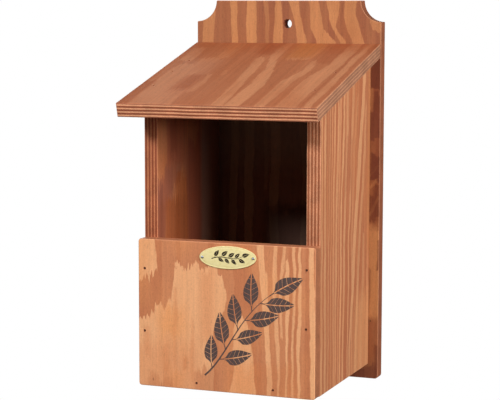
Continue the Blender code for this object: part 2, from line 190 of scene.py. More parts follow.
# Roof, upper face: across is x, along is the distance down the slope.
ROOF_STREAKS = (
    (0.6, (18, -83, -70), (57, -80, -68)),
    (0.5, (-20, -64, -60), (14, -64, -60)),
    (0.6, (-20, -52, -38), (18, -52, -37), (47, -50, -38)),
    (0.6, (48, -62, -44), (80, -60, -46), (98, -60, -50)),
    (0.7, (66, -74, -62), (80, -76, -55), (180, -77, -55)),
    (0.6, (140, -57, -42), (176, -57, -38), (190, -57, -38)),
    (0.6, (94, -39, -34), (106, -37, -34), (118, -39, -32), (143, -40, -33)),
    (0.4, (85, -28, -24), (98, -28, -22)),
    (0.8, (44, -12, -7), (50, -12, -3), (85, -8, 1), (115, -5, 3), (140, -4, 6), (190, -3, 8)),
    (0.9, (-20, -2, 7), (40, -2, 7), (50, 1, 8), (80, 8, 17), (95, 8, 18), (120, 10, 22), (140, 9, 22),
     (190, 8, 20)),
    (0.7, (3, 12, 38), (20, 11, 40), (50, 16, 36)),
    (0.8, (52, 41, 46), (85, 40, 47), (100, 35, 45), (115, 33, 44), (143, 33, 44), (190, 33, 41)),
    (0.8, (-20, 61, 70), (60, 58, 70), (93, 52, 68), (128, 51, 68), (190, 50, 68)),
    (0.8, (-20, 75, 79), (60, 73, 79), (190, 74, 80)),
    (0.6, (60, 84, 90), (190, 84, 90)),
)

# Each board: a point in the middle of its thickness, its directions, its two veneer tones, the
# tones of plies cut along and across the fibres, the tone and share of the painted sheen and shade
# on its side edges, where it ends, how ragged, soft and banded it is, how far its arrises are worn
# and lightened with a painted highlight, soft washes as (tone, share, (across, along) from, to,
# softness), some of them painted light and shade, and marks as (across, along, half width, half
# length, strength). The painted shade inside the box, darker and cooler, is a factor for red,
# green and blue, which face takes it, and from where to where across and along. Origins are in
# metres, and all else is in mm.
BOARDS = {
    "front_board": {
        "seed": 36.5,
        "origin": (0, -0.1536, 0), "across": (1, 0, 0), "outward": (0, -1, 0), "along": (0, 0, 1),
        "light": "#E0A273", "dark": "#B9714A", "orange": "#D98F58", "long": "#B87450", "end": "#B06C4A",
        # The side edges take a painted shade, darker than the other edges
        "side_edge_shading": ("#A26644", 0.65), "ends": (0, 123), "ragged": 6.0, "soft": 0.6, "bands": 0.2, "wear_and_highlight": 0.6,
        "streaks": FRONT_STREAKS,
        "washes": (
            ("#DC8E52", 0.5, (-57, 44), (-37, 68), 8.0), ("#DC8E52", 0.5, (-50, -10), (-38, 17), 6.0),
            ("#D58148", 0.5, (4, -10), (27, 24), 8.0), ("#B56C45", 0.6, (-27, -10), (-6, 18), 3.5),
            ("#C07040", 0.5, (-36.5, 17), (-33, 28), 1.6), ("#C07040", 0.4, (-55, 11), (-51.5, 16.5), 1.5),
            ("#CC7F54", 0.35, (-95, -10), (-22, 38), 10.0), ("#B4683F", 0.45, (-70, -9), (-44, 6), 4.0),
            ("#C87C4E", 0.4, (-72, 24), (-67, 52), 2.5), ("#C87C4E", 0.4, (-46, 20), (-43, 84), 1.5),
            ("#C87C4E", 0.35, (-56, -10), (-50, 34), 2.0), ("#C87C4E", 0.35, (-30, 4), (-27, 58), 1.5),
            ("#CB7C4C", 0.4, (-22, 40), (-10, 100), 5.0), ("#C0703F", 0.3, (28, -10), (60, 26), 8.0),
        ),
        "marks": ((-64.2, 5.7, 0.8, 1.4, 0.4),),
    },
    "back_board": {
        "seed": 7.3,
        "origin": (0, -0.006, 0), "across": (1, 0, 0), "outward": (0, -1, 0), "along": (0, 0, 1),
        "light": "#BC7C4C", "dark": "#905233", "orange": "#9C5A30", "long": "#B07454", "end": "#602C1A",
        # Painted shade on the side edges, and a darker, cooler painted shade on the inner face inside the box
        "side_edge_shading": ("#A05838", 0.6), "inside": ((0.72, 1.08, 1.65), 1, -64.8, 64.8, 0, 268), "ends": (-13, 318),
        "ragged": 1.5, "soft": 0.6, "bands": 0.3, "wear_and_highlight": 0.7, "streaks": BACK_STREAKS,
        "washes": (
            # Painted light: the first wash lightens the upper part of the inner back wall
            ("#D8A878", 0.35, (-64, 180), (48, 246), 26.0),
            # The rear margin beside the box: dark and light patches, partly figure and partly painted light
            # and shade, darker under the roof and along the side panel, lighter lower down
            ("#84452F", 0.5, (77.5, 164), (95, 278), 3.0), ("#6A3322", 0.7, (76, 241), (95, 277), 1.4),
            ("#6A3322", 0.65, (79.5, 222), (95, 238), 1.4),
            ("#6E3626", 0.65, (75, 198), (95, 222), 1.6), ("#6A3222", 0.7, (77, 165), (95, 185), 1.6),
            ("#6A3020", 0.62, (80.5, 133), (95, 162), 2.4), ("#6A3020", 0.62, (76, 126), (82, 152), 2.4),
            ("#CC8C58", 0.8, (66, 42), (95, 121), 6.0), ("#6E3424", 0.65, (83.4, 85), (95, 112), 1.0),
            ("#84482E", 0.5, (74, 46), (78.5, 86), 1.6), ("#B07048", 0.3, (80, 20), (95, 44), 2.5),
            # The first is the foot of the margin; the second is painted shade, a dark patch low on the inner
            # back wall where light falls in over the front board
            ("#6C3422", 0.55, (82, -30), (95, 17), 2.0), ("#40180C", 0.8, (-20, 60), (66, 136), 9.0),
            # Both darker below the box's floor
            ("#6E3424", 0.7, (50, -30), (74, -1), 2.0), ("#7A3C28", 0.6, (74, -30), (95, -1), 2.0),
        ),
        "marks": ((78.4, 38.5, 0.9, 1.1, 0.6),),
    },
    "right_side": {
        "seed": 21.9,
        "origin": (0.07075, 0, 0), "across": (0, -1, 0), "outward": (1, 0, 0), "along": (0, 0, 1),
        "light": "#D3966A", "dark": "#B26A46", "orange": "#C0764A", "long": "#C48460", "end": "#925030",
        # A darker, cooler painted shade on the inner face inside the box
        "inside": ((0.38, 0.56, 0.88), -1, 12, 148, 0, 268), "ends": (0, 268), "ragged": 5.0,
        "soft": 0.8, "bands": 0.4, "wear_and_highlight": 0.4, "streaks": RIGHT_STREAKS,
        "washes": (
            ("#B8703C", 0.45, (0, 100), (19, 290), 4.0), ("#DC9C68", 0.4, (0, -30), (56, 66), 12.0),
            ("#7E4026", 0.14, (116, -30), (160, 290), 9.0), ("#B06A48", 0.4, (64, 160), (82, 205), 5.0),
        ),
        "marks": ((123.2, 22.6, 0.9, 0.9, 0.5), (54.5, 54.5, 0.9, 0.9, 0.4), (49.5, 77, 0.8, 0.8, 0.4)),
    },
    "left_side": {
        "seed": 14.6,
        "origin": (-0.07075, 0, 0), "across": (0, -1, 0), "outward": (1, 0, 0), "along": (0, 0, 1),
        "light": "#DC8C58", "dark": "#B2684A", "orange": "#C26634", "long": "#B8704A", "end": "#8A4226",
        "ends": (0, 268), "ragged": 8.0, "soft": 2.0, "bands": 0.5, "wear_and_highlight": 0.4, "streaks": LEFT_STREAKS,
        "washes": (
            # Partly figure and partly painted light and shade on the inner face: orange where light falls in
            # through the front, darker under the roof and deeper in, and a cooler tone at the back
            ("#BA5C2A", 0.6, (84, 60), (111, 172), 2.5), ("#BA5C2A", 0.6, (102, 60), (131, 152), 2.5),
            ("#A05C46", 0.6, (116, 150), (134, 178), 3.0), ("#A04E38", 0.7, (40, 60), (84, 200), 5.0),
            ("#8E5140", 0.7, (135, 60), (152, 165), 2.5), ("#B05C3E", 0.6, (84, 180), (127, 270), 4.0),
            ("#8A4430", 0.5, (108, 186), (122, 215), 3.0), ("#A07460", 0.85, (0, 60), (54, 290), 5.0),
            ("#8E4A2C", 0.45, (86, 100), (152, 150), 7.0),
        ),
        "marks": (),
    },
    "roof_board": {
        "seed": 43.8,
        "origin": tuple(Vector((0, -0.0123, 0.281)) - 0.006 * Vector(ROOF_OUT)),
        "across": (1, 0, 0), "outward": ROOF_OUT, "along": ROOF_DOWN,
        "light": "#C4835C", "dark": "#AA6644", "orange": "#A85C37", "long": "#DC9870", "end": "#8E4A30",
        # Painted sheen on the side edges, a flat greyish tone, and a darker, cooler painted shade on the
        # underside inside the box
        "side_edge_shading": ("#A87A5E", 0.65), "inside": ((0.38, 0.56, 0.88), -1, -64.8, 64.8, 0, 140), "ends": (0, 176),
        "ragged": 5.0, "soft": 1.0, "bands": 0.3, "wear_and_highlight": 0.1, "streaks": ROOF_STREAKS,
        "washes": (
            # The first wash darkens and deepens the rear of the roof, where there is less painted sheen
            ("#964A22", 0.6, (-95, -50), (95, 26), 26.0), ("#AE6430", 0.6, (13, -30), (37, 46), 8.0),
            ("#AC5E32", 0.4, (-52, 8), (-36, 48), 7.0), ("#904222", 0.35, (44, -30), (58, 60), 6.0),
            # The second wash on the next line is a painted sheen: a paler, pinkish patch on the left front of
            # the roof
            ("#8C3C1C", 0.4, (-17, -30), (-3, 36), 6.0), ("#B87C5E", 0.4, (-78, 56), (-38, 190), 10.0),
            ("#9C5636", 0.6, (-95, 114), (-75, 190), 3.0), ("#9A5232", 0.5, (-53, 98), (-40, 136), 4.0),
            ("#904A2E", 0.4, (70.5, -30), (72, 190), 1.4), ("#904A2E", 0.3, (81, -30), (83.5, 190), 1.6),
        ),
        "marks": (),
    },
    "floor_board": {
        "seed": 29.2,
        "origin": (0, 0, 0.006), "across": (1, 0, 0), "outward": (0, 0, 1), "along": (0, -1, 0),
        "light": "#B4683C", "dark": "#8C4A32", "orange": "#A8562C", "long": "#B87450", "end": "#7E3E22",
        # A darker, cooler painted shade on the upper face inside the box
        "inside": ((0.38, 0.56, 0.88), 1, -70, 70, 0, 150), "ends": (0, 147),
        "ragged": 8.0, "soft": 1.0, "bands": 0.3, "wear_and_highlight": 0.4, "streaks": (), "washes": (), "marks": (),
    },
}

# Half profiles of turned forms in mm: distance in from the rim, and height. The rows fall on
# a float curve's own steps, so there are 9 or 17 of them.
BRAD_PROFILE = (
    (0.85, -0.14), (0.45, -0.06), (0.08, 0.0), (0.0, -0.12), (0.04, -0.5),
    (0.25, -0.6), (0.25, -28.0), (0.6, -29.4), (0.85, -30.0),
)
PIN_PROFILE = (
    (1.1, 0.7), (0.8, 0.66), (0.42, 0.52), (0.12, 0.3), (0.0, 0.06),
    (0.12, 0.0), (0.6, 0.0), (0.62, -6.2), (1.1, -7.7),
)
PLATE_PROFILE = (
    (9.4, 0.0), (2.2, 0.0), (0.5, 0.0), (0.1, 0.05), (0.0, 0.2), (0.0, 0.38), (0.08, 0.52), (0.3, 0.6),
    (0.7, 0.6), (0.95, 0.53), (1.15, 0.51), (1.35, 0.53), (1.7, 0.6), (2.6, 0.63), (4.5, 0.67), (7.0, 0.7),
    (9.4, 0.7),
)

# Sides of the oval plate and of the drill for its holes, how deep below its top a packed
# fastener's head is looked for in mm, and the angle from which an edge is shaded sharp
PLATE_SIDES = 97
DRILL_SIDES = 24
HEAD_DEPTH = 0.05
SHARP_EDGE = math.radians(40.0)

# The stencil leaf, in shares of its length. The belly's power moves its widest place.
LEAF_LOBES = 6
LEAF_BELLY = 0.8
LEAF_VEIN = 0.07
LEAF_HALF_WIDTH = 0.23
LEAF_RIB = 0.016
LEAF_LEAN = 0.2
LEAF_DROOP = 0.1
LEAF_STALK = 0.15
STALK_WIDTH = 0.03
STALK_LAP = 0.02


def linear(code):
    """The linear colour of an sRGB hex code."""
    shares = [int(code[start:start + 2], 16) / 255 for start in (1, 3, 5)]
    return tuple(s / 12.92 if s <= 0.04045 else ((s + 0.055) / 1.055) ** 2.4 for s in shares)


def opaque(colour):
    """A colour with full alpha."""
    return (*colour, 1.0)


def feed(tree, node, inputs):
    """Give a node's inputs their values: a row of them in order, or each by name or identifier."""
    pairs = inputs.items() if isinstance(inputs, dict) else enumerate(inputs)
    for key, value in pairs:
        socket = node.inputs[key] if isinstance(key, int) else next(
            socket for socket in node.inputs if socket.enabled and key in (socket.name, socket.identifier))
        if isinstance(value, bpy.types.Node):
            value = next(output for output in value.outputs if output.enabled)
        if isinstance(value, bpy.types.NodeSocket):
            tree.links.new(value, socket)
        else:
            socket.default_value = value


def add(tree, kind, inputs=(), operation=None, **settings):
    """Add a node with its operation, its other settings and its inputs."""
    node = tree.nodes.new(kind)
    if operation:
        node.operation = operation
    for name, value in settings.items():
        setattr(node, name, value)
    feed(tree, node, inputs)
    return node


def draw_curve(node, channel, spots):
    """Lay one curve of a curve node in straight runs through its spots."""
    points = node.mapping.curves[channel].points
    points[0].location, points[1].location = spots[0], spots[-1]
    for spot in spots[1:-1]:
        points.new(*spot)
    for point in points:
        point.handle_type = "VECTOR"
    node.mapping.update()


def new_group(name, kind, inputs, outputs):
    """A node group with named sockets: its tree, the values that it is given and its output node."""
    tree = bpy.data.node_groups.new(name, kind)
    for sockets, direction in ((inputs, "INPUT"), (outputs, "OUTPUT")):
        for label, socket_type, *default in sockets:
            made = tree.interface.new_socket(
                name=label, in_out=direction, socket_type="NodeSocket" + socket_type)
            if default:
                made.default_value = default[0]
    return tree, tree.nodes.new("NodeGroupInput").outputs, tree.nodes.new("NodeGroupOutput")


def stretched_noise(tree, place, across, along, seed, detail=2.0):
    """Noise drawn out along the fibres. The sizes of its features are in mm."""
    scaled = add(tree, VECTOR_MATH, (place, (1 / across, 1 / across, 1 / along)), "MULTIPLY")
    moved = add(tree, VECTOR_MATH, (scaled, (seed, -seed, 2 * seed)), "ADD")
    return add(tree, NOISE, {"Vector": moved, "Scale": 1.0, "Detail": detail})


def smooth_step(tree, value, low, high):
    """Nodes that rise smoothly from 0 to 1 between two limits."""
    inputs = {"Value": value, "From Min": low, "From Max": high}
    return add(tree, RANGE, inputs, interpolation_type="SMOOTHSTEP")


def blended(tree, share, first, second, **settings):
    """Nodes that blend a first colour into a second one."""
    inputs = {"Factor_Float": share, "A_Color": first, "B_Color": second}
    return add(tree, MIX, inputs, data_type="RGBA", **settings)


def weighted_sum(tree, start, *terms):
    """Nodes for a start value plus each (value, weight) pair."""
    total = start
    for value, weight in terms:
        total = add(tree, MATH, (value, weight, total), "MULTIPLY_ADD")
    return total


def new_material(name):
    """A material with nodes: itself, its tree and its shader."""
    material = bpy.data.materials.new(name)
    material.use_nodes = True
    return material, material.node_tree, material.node_tree.nodes["Principled BSDF"]


def board_place_group():
    """Turn a point and a normal into the board's own directions: across, through and along, in mm."""
    sockets = [(name, "Vector") for name in ("Origin", "Across", "Outward", "Along")]
    outputs = [("Place", "Vector"), ("Facing", "Vector")]
    tree, value, made = new_group("board_place", "ShaderNodeTree", sockets, outputs)
    coordinates = add(tree, "ShaderNodeTexCoord").outputs
    shifted = add(tree, VECTOR_MATH, (coordinates["Object"], value["Origin"]), "SUBTRACT")
    in_mm = add(tree, VECTOR_MATH, {0: shifted, "Scale": 1 / MM}, "SCALE")
    for source, output in ((in_mm.outputs[0], "Place"), (coordinates["Normal"], "Facing")):
        parts = [
            add(tree, VECTOR_MATH, (source, value[axis]), "DOT_PRODUCT").outputs["Value"]
            for axis in ("Across", "Outward", "Along")
        ]
        feed(tree, made, {output: add(tree, JOIN, parts)})
    return tree


def streak_group():
    """Light up the span between a streak's two edges, unless something brighter is there already."""
    inputs = [("Edges", "Vector"), *((label, "Float") for label in ("Across", "Tone", "Softness", "Below"))]
    tree, value, made = new_group("grain_streak", "ShaderNodeTree", inputs, [("Figure", "Float")])
    edges = add(tree, SPLIT, (value["Edges"],)).outputs
    from_left = add(tree, MATH, (value["Across"], edges["X"]), "SUBTRACT")
    from_right = add(tree, MATH, (edges["Y"], value["Across"]), "SUBTRACT")
    inside = add(tree, MATH, (from_left, from_right), "MINIMUM")
    depth = add(tree, MATH, (inside, value["Softness"]), "DIVIDE")
    toned = add(tree, MATH, (smooth_step(tree, depth, -1.0, 1.0), value["Tone"]), "MULTIPLY")
    brightest = add(tree, MATH, (toned, value["Below"]), "MAXIMUM")
    feed(tree, made, {"Figure": brightest})
    return tree


def wash_group():
    """Tint a soft-edged patch of the face: some patches are stain that the wood took in another way, some are
    painted light and shade.
    """
    inputs = [("Spot", "Vector"), ("Low", "Vector"), ("High", "Vector"), ("Softness", "Float"),
              ("Share", "Float"), ("Tone", "Color"), ("Below", "Color")]
    tree, value, made = new_group("stain_and_shade_wash", "ShaderNodeTree", inputs, [("Color", "Color")])
    past_low = add(tree, VECTOR_MATH, (value["Spot"], value["Low"]), "SUBTRACT")
    before_high = add(tree, VECTOR_MATH, (value["High"], value["Spot"]), "SUBTRACT")
    inside = add(tree, VECTOR_MATH, (past_low, before_high), "MINIMUM")
    softened = add(tree, VECTOR_MATH, (inside, value["Softness"]), "DIVIDE")
    depth = add(tree, SPLIT, (softened,)).outputs
    covered = [smooth_step(tree, depth[axis], -1.0, 1.0) for axis in ("X", "Z")]
    patch = add(tree, MATH, covered, "MULTIPLY")
    share = add(tree, MATH, (patch, value["Share"]), "MULTIPLY")
    feed(tree, made, {"Color": blended(tree, share, value["Below"], value["Tone"])})
    return tree


def mark_group():
    """A small dark mark on the face, such as a pin knot or a bruise."""
    inputs = [(label, "Vector") for label in ("Place", "Centre", "Size")]
    inputs += [("Strength", "Float"), ("Below", "Float")]
    tree, value, made = new_group("dark_mark", "ShaderNodeTree", inputs, [("Mark", "Float")])
    offset = add(tree, VECTOR_MATH, (value["Place"], value["Centre"]), "SUBTRACT")
    shares = add(tree, VECTOR_MATH, (offset, value["Size"]), "DIVIDE")
    span = add(tree, VECTOR_MATH, (shares,), "LENGTH").outputs["Value"]
    fade = smooth_step(tree, span, 1.2, 0.3)
    dark = add(tree, MATH, (fade, value["Strength"]), "MULTIPLY")
    darkest = add(tree, MATH, (dark, value["Below"]), "MAXIMUM")
    feed(tree, made, {"Mark": darkest})
    return tree


def ply_edge_group(inner_ply, half_core):
    """The sheet's edges: plies that cross, long fibres light and end grain dark. Lengths are in mm."""
    inputs = [("Place", "Vector"), ("Facing", "Vector"), ("Long", "Color"), ("End", "Color"),
              ("Flank", "Color"), ("Flank Share", "Float")]
    outputs = [("Color", "Color"), ("Face", "Float"), ("Arris", "Float"), ("Height", "Float")]
    tree, value, made = new_group("ply_edge", "ShaderNodeTree", inputs, outputs)
    place = value["Place"]
    facing = add(tree, VECTOR_MATH, (value["Facing"],), "ABSOLUTE")
    turned = add(tree, SPLIT, (facing,)).outputs
    square = add(tree, SPLIT, (add(tree, VECTOR_MATH, (facing, facing), "MULTIPLY"),)).outputs

    # Which ply, counted out from the middle of the sheet, whose layers wave a little
    wave = stretched_noise(tree, place, 24.0, 24.0, 3.7, 1.0)
    drift = weighted_sum(tree, -PLY_WAVE / 2, (wave, PLY_WAVE))
    through = add(tree, MATH, (add(tree, SPLIT, (place,)).outputs["Y"], drift), "ADD")
    depth = add(tree, MATH, (through,), "ABSOLUTE")
    counted = add(tree, MATH, (depth, 1 / inner_ply, 0.5), "MULTIPLY_ADD")
    outermost = (half_core + 0.5) / inner_ply + 0.5
    number = add(tree, MATH, (add(tree, MATH, (counted,), "FLOOR"), outermost), "MINIMUM")
    crossing = add(tree, MATH, (number, 2.0), "FLOORED_MODULO")
    end_grain = add(tree, MIX, {"Factor_Float": crossing, "A_Float": square["Z"], "B_Float": square["X"]})
    share = add(tree, MATH, (counted,), "FRACT")
    glue = smooth_step(tree, add(tree, MATH, (share, 0.5), "PINGPONG"), 0.11, 0.03)

    speckle = add(tree, NOISE, {"Vector": place, "Scale": 1.6, "Detail": 3.0, "Roughness": 0.7})
    patches = add(tree, NOISE, {"Vector": place, "Scale": 0.09, "Detail": 2.0})
    cut = blended(tree, end_grain, value["Long"], value["End"])
    # Painted sheen and shade: edges that face across the board are blended towards one flat tone
    side_edge_shading = add(tree, MATH, (square["X"], value["Flank Share"]), "MULTIPLY")
    cut = blended(tree, side_edge_shading, cut, value["Flank"])
    grit, tide = (
        add(tree, RANGE, {"Value": noise, "From Min": 0.3, "From Max": 0.7, "To Min": low, "To Max": high})
        for noise, low, high in ((speckle, 0.72, 1.26), (patches, 0.84, 1.14))
    )
    shade = add(tree, MATH, (grit, tide), "MULTIPLY")
    seam = add(tree, RANGE, {"Value": glue, "To Min": 1.0, "To Max": 0.6})
    dimmed = add(tree, MATH, (shade, seam), "MULTIPLY")
    colour = add(tree, VECTOR_MATH, {0: cut, "Scale": dimmed}, "SCALE")

    # How far the surface has turned off the face: the rounded arris comes between face and edge
    off_face = smooth_step(tree, turned["Y"], 0.97, 0.88)
    arris = add(tree, MATH, (smooth_step(tree, turned["Y"], 0.1, 0.4), off_face), "MULTIPLY")
    feed(tree, made, {
        "Color": colour,
        "Face": smooth_step(tree, turned["Y"], 0.7, 0.92),
        "Arris": arris,
        "Height": add(tree, MATH, (speckle, glue), "SUBTRACT"),
    })
    return tree


def add_streaks(tree, group, across, along, board, across_low):
    """Join a board's light streaks into one figure. A streak that ends on the board is closed there."""
    figure = 0.0
    for tone, *levels in board["streaks"]:
        for end, step, open_end in ((levels[0], -CLOSING, levels[0][0] < board["ends"][0]),
                                    (levels[-1], CLOSING, levels[-1][0] > board["ends"][1])):
            middle = (end[1] + end[2]) / 2
            if not open_end:
                closed = (end[0] + step, middle + CROSSING, middle - CROSSING)
                levels.insert(0 if step < 0 else len(levels), closed)
        edges = add(tree, "ShaderNodeRGBCurve", {"Color": along})
        for channel in (0, 1):
            draw_curve(edges, channel, [
                (min(max((level[0] - ALONG_LOW) / ALONG_REACH, 0.0), 1.0),
                 (level[1 + channel] - across_low) / ACROSS_REACH) for level in levels])
        figure = add(tree, GROUP, {
            "Edges": edges, "Across": across, "Tone": tone, "Softness": board["soft"] / ACROSS_REACH,
            "Below": figure}, node_tree=group)
    return figure


def plywood_material(name, settings, groups):
    """Stained softwood plywood: early wood takes the stain darker, late wood stays as light flames."""
    board = BOARDS[name]
    seed = board["seed"]
    material, tree, shader = new_material("stained_plywood_" + name)
    axes = {label: board[label.lower()] for label in ("Origin", "Across", "Outward", "Along")}
    spot = add(tree, GROUP, axes, node_tree=groups["place"])
    place, facing = spot.outputs["Place"], spot.outputs["Facing"]
    parts = add(tree, SPLIT, (place,)).outputs

    # Where the figure is read: fibres slide along each other, which frays the ends of the flames
    fray = stretched_noise(tree, place, 2.1, 90.0, seed)
    sway = stretched_noise(tree, place, 28.0, 45.0, seed + 1, 1.0)
    tremble = stretched_noise(tree, place, 8.0, 9.0, seed + 2)
    slid = weighted_sum(tree, -2 * board["ragged"], (fray, 4 * board["ragged"]), (parts["Z"], 1.0))
    swung = weighted_sum(
        tree, -(SWAY + TREMBLE) / 2, (sway, SWAY), (tremble, TREMBLE), (parts["X"], 1.0))
    across_low = 0.0 if board["across"][1] else -ACROSS_REACH / 2
    along = add(tree, RANGE, {"Value": slid, "From Min": ALONG_LOW, "From Max": ALONG_LOW + ALONG_REACH})
    across = add(tree, RANGE, {"Value": swung, "From Min": across_low, "From Max": across_low + ACROSS_REACH})
    figure = add_streaks(tree, groups["streak"], across, along, board, across_low)

    # Figure of the other face, and a faint one between the streaks
    crooked = weighted_sum(tree, -CROOKEDNESS / 2, (tremble, CROOKEDNESS), (slid, 1.0))
    warped = add(tree, JOIN, (swung, 0.0, crooked))
    wild = stretched_noise(tree, warped, 9.0, 520.0, seed + 3, 1.5)
    flames = smooth_step(tree, weighted_sum(tree, -0.03, (fray, 0.06), (wild, 1.0)), 0.48, 0.54)
    outer = smooth_step(tree, parts["Y"], -1.0, 1.0)
    if figure:
        faint = add(tree, MATH, (flames, FAINT_FLAMES), "MULTIPLY")
        seen = add(tree, MATH, (figure, faint), "MAXIMUM")
        flames = add(tree, MIX, {"Factor_Float": outer, "A_Float": flames, "B_Float": seen})

    # Two tones of stained wood, a warm tide over them, and the washes of the outer face: stain, and in places
    # painted light and shade
    light, dark, warm = (opaque(linear(board[key])) for key in ("light", "dark", "orange"))
    wood = blended(tree, flames, dark, light)
    tide = stretched_noise(tree, place, 26.0, 55.0, seed + 6)
    warmth = add(tree, RANGE, {"Value": tide, "From Min": 0.45, "From Max": 0.7, "To Max": 0.4})
    wood = blended(tree, warmth, wood, warm)
    washed = wood
    for tone, share, low, high, softness in board["washes"]:
        washed = add(tree, GROUP, {
            "Spot": warped, "Low": (low[0], 0.0, low[1]), "High": (high[0], 0.0, high[1]),
            "Softness": softness, "Share": share, "Tone": opaque(linear(tone)), "Below": washed,
        }, node_tree=groups["wash"])
    wood = blended(tree, outer, wood, washed)

    # Painted shade on the inner faces, which little light reaches: a darker, cooler colour inside the box
    if "inside" in board:
        tint, hand, low, high, bottom, top = board["inside"]
        facing_in = add(tree, MATH, (parts["Y"], hand), "MULTIPLY")
        inside_shade_mask = add(tree, MATH, (facing_in, 0.0), "GREATER_THAN")
        for axis, first, last in (("X", low, high), ("Z", bottom, top)):
            for limit, step in ((first, INSIDE_BLUR), (last, -INSIDE_BLUR)):
                covered = smooth_step(tree, parts[axis], limit - step, limit + step)
                inside_shade_mask = add(tree, MATH, (inside_shade_mask, covered), "MULTIPLY")
        deep = blended(tree, 1.0, wood, opaque(tint), blend_type="MULTIPLY")
        wood = blended(tree, inside_shade_mask, wood, deep)

    # Fibres, bands of growth, mottle, dark flecks and marks, as one factor near 1
    fibres = stretched_noise(tree, place, 0.42, 18.0, seed + 4, 3.0)
    bands = stretched_noise(tree, place, 2.4, 110.0, seed + 5)
    flecks = smooth_step(tree, stretched_noise(tree, place, 0.8, 5.0, seed + 7), 0.56, 0.72)
    mottle = add(tree, NOISE, {"Vector": place, "Scale": 0.7, "Detail": 4.0, "Roughness": 0.75})
    shade = weighted_sum(
        tree, 1.0 - SHADE_LOSS - board["bands"] / 2, (fibres, FIBRE_SHADE), (bands, board["bands"]),
        (mottle, MOTTLE_SHADE), (flecks, -settings.fleck_depth))
    mark = 0.0
    for mark_across, mark_along, half_width, half_length, strength in board["marks"]:
        mark = add(tree, GROUP, {
            "Place": place, "Centre": (mark_across, HALF_SHEET, mark_along),
            "Size": (half_width, MARK_DEPTH, half_length), "Strength": strength, "Below": mark,
        }, node_tree=groups["mark"])
    if mark:
        shade = add(tree, MATH, (shade, mark), "SUBTRACT")
    wood = add(tree, VECTOR_MATH, {0: wood, "Scale": shade}, "SCALE")

    # The edges, the arrises, rubbed and lightened with a painted highlight, and the relief and gloss of them
    # all
    # The tone and share of the painted sheen and shade on the side edges
    side_edge_shading, side_edge_shading_share = board.get("side_edge_shading", (board["long"], 0.0))
    edge = add(tree, GROUP, {
        "Place": place, "Facing": facing, "Long": opaque(linear(board["long"])),
        "End": opaque(linear(board["end"])), "Flank": opaque(linear(side_edge_shading)), "Flank Share": side_edge_shading_share,
    }, node_tree=groups["edge"]).outputs
    colour = blended(tree, edge["Face"], edge["Color"], wood)
    wear_and_highlight_mask = add(tree, MATH, (edge["Arris"], settings.arris_wear_and_highlight * board["wear_and_highlight"]), "MULTIPLY")
    wear_and_highlight_mask = add(tree, MATH, (wear_and_highlight_mask, bands), "MULTIPLY")
    colour = blended(tree, wear_and_highlight_mask, colour, opaque(settings.wear_and_highlight_colour))
    relief = add(tree, MIX, {"Factor_Float": edge["Face"], "A_Float": edge["Height"], "B_Float": fibres})
    bump = add(tree, BUMP, {"Strength": 0.35, "Distance": settings.fibre_relief, "Height": relief})
    gloss = weighted_sum(tree, settings.roughness - 0.08, (fibres, 0.18))
    feed(tree, shader, {"Base Color": colour, "Roughness": gloss, "Normal": bump, "Specular IOR Level": 0.3})
    return material


def place_in_mm(tree):
    """The object's own coordinates in mm."""
    coordinates = add(tree, "ShaderNodeTexCoord").outputs["Object"]
    return add(tree, VECTOR_MATH, {0: coordinates, "Scale": 1 / MM}, "SCALE")


def metal_material(name, colour, tarnish, roughness, metallic):
    """Bare metal with fine scratches and a patchy dull film."""
    material, tree, shader = new_material(name)
    place = place_in_mm(tree)
    film = add(tree, NOISE, {"Vector": place, "Scale": 0.35, "Detail": 4.0, "Roughness": 0.65})
    scratches = stretched_noise(tree, place, 6.0, 0.14, 5.0)
    patch = smooth_step(tree, film, 0.42, 0.72)
    base = blended(tree, patch, opaque(linear(colour)), opaque(linear(tarnish)))
    shade = add(tree, RANGE, {"Value": scratches, "To Min": 0.94, "To Max": 1.06})
    base = add(tree, VECTOR_MATH, {0: base, "Scale": shade}, "SCALE")
    gloss = add(tree, RANGE, {"Value": film, "To Min": roughness - 0.06, "To Max": roughness + 0.14})
    bump = add(tree, BUMP, {"Strength": 0.15, "Distance": 0.02 * MM, "Height": scratches})
    feed(tree, shader, {"Base Color": base, "Roughness": gloss, "Normal": bump, "Metallic": metallic})
    return material


def ink_material(name, colour, thinness):
    """Pad-printed ink: matt, and a little lighter where it lies thin over raised fibres."""
    material, tree, shader = new_material(name)
    fibres = stretched_noise(tree, place_in_mm(tree), 0.5, 14.0, 2.0, 3.0)
    thinned = smooth_step(tree, fibres, 0.42, 0.78)
    base = blended(tree, thinned, opaque(colour), opaque(thinness * part for part in colour))
    gloss = add(tree, RANGE, {"Value": fibres, "To Min": 0.55, "To Max": 0.8})
    bump = add(tree, BUMP, {"Strength": 0.2, "Distance": 0.03 * MM, "Height": fibres})
    feed(tree, shader, {"Base Color": base, "Roughness": gloss, "Normal": bump, "Specular IOR Level": 0.25})
    return material


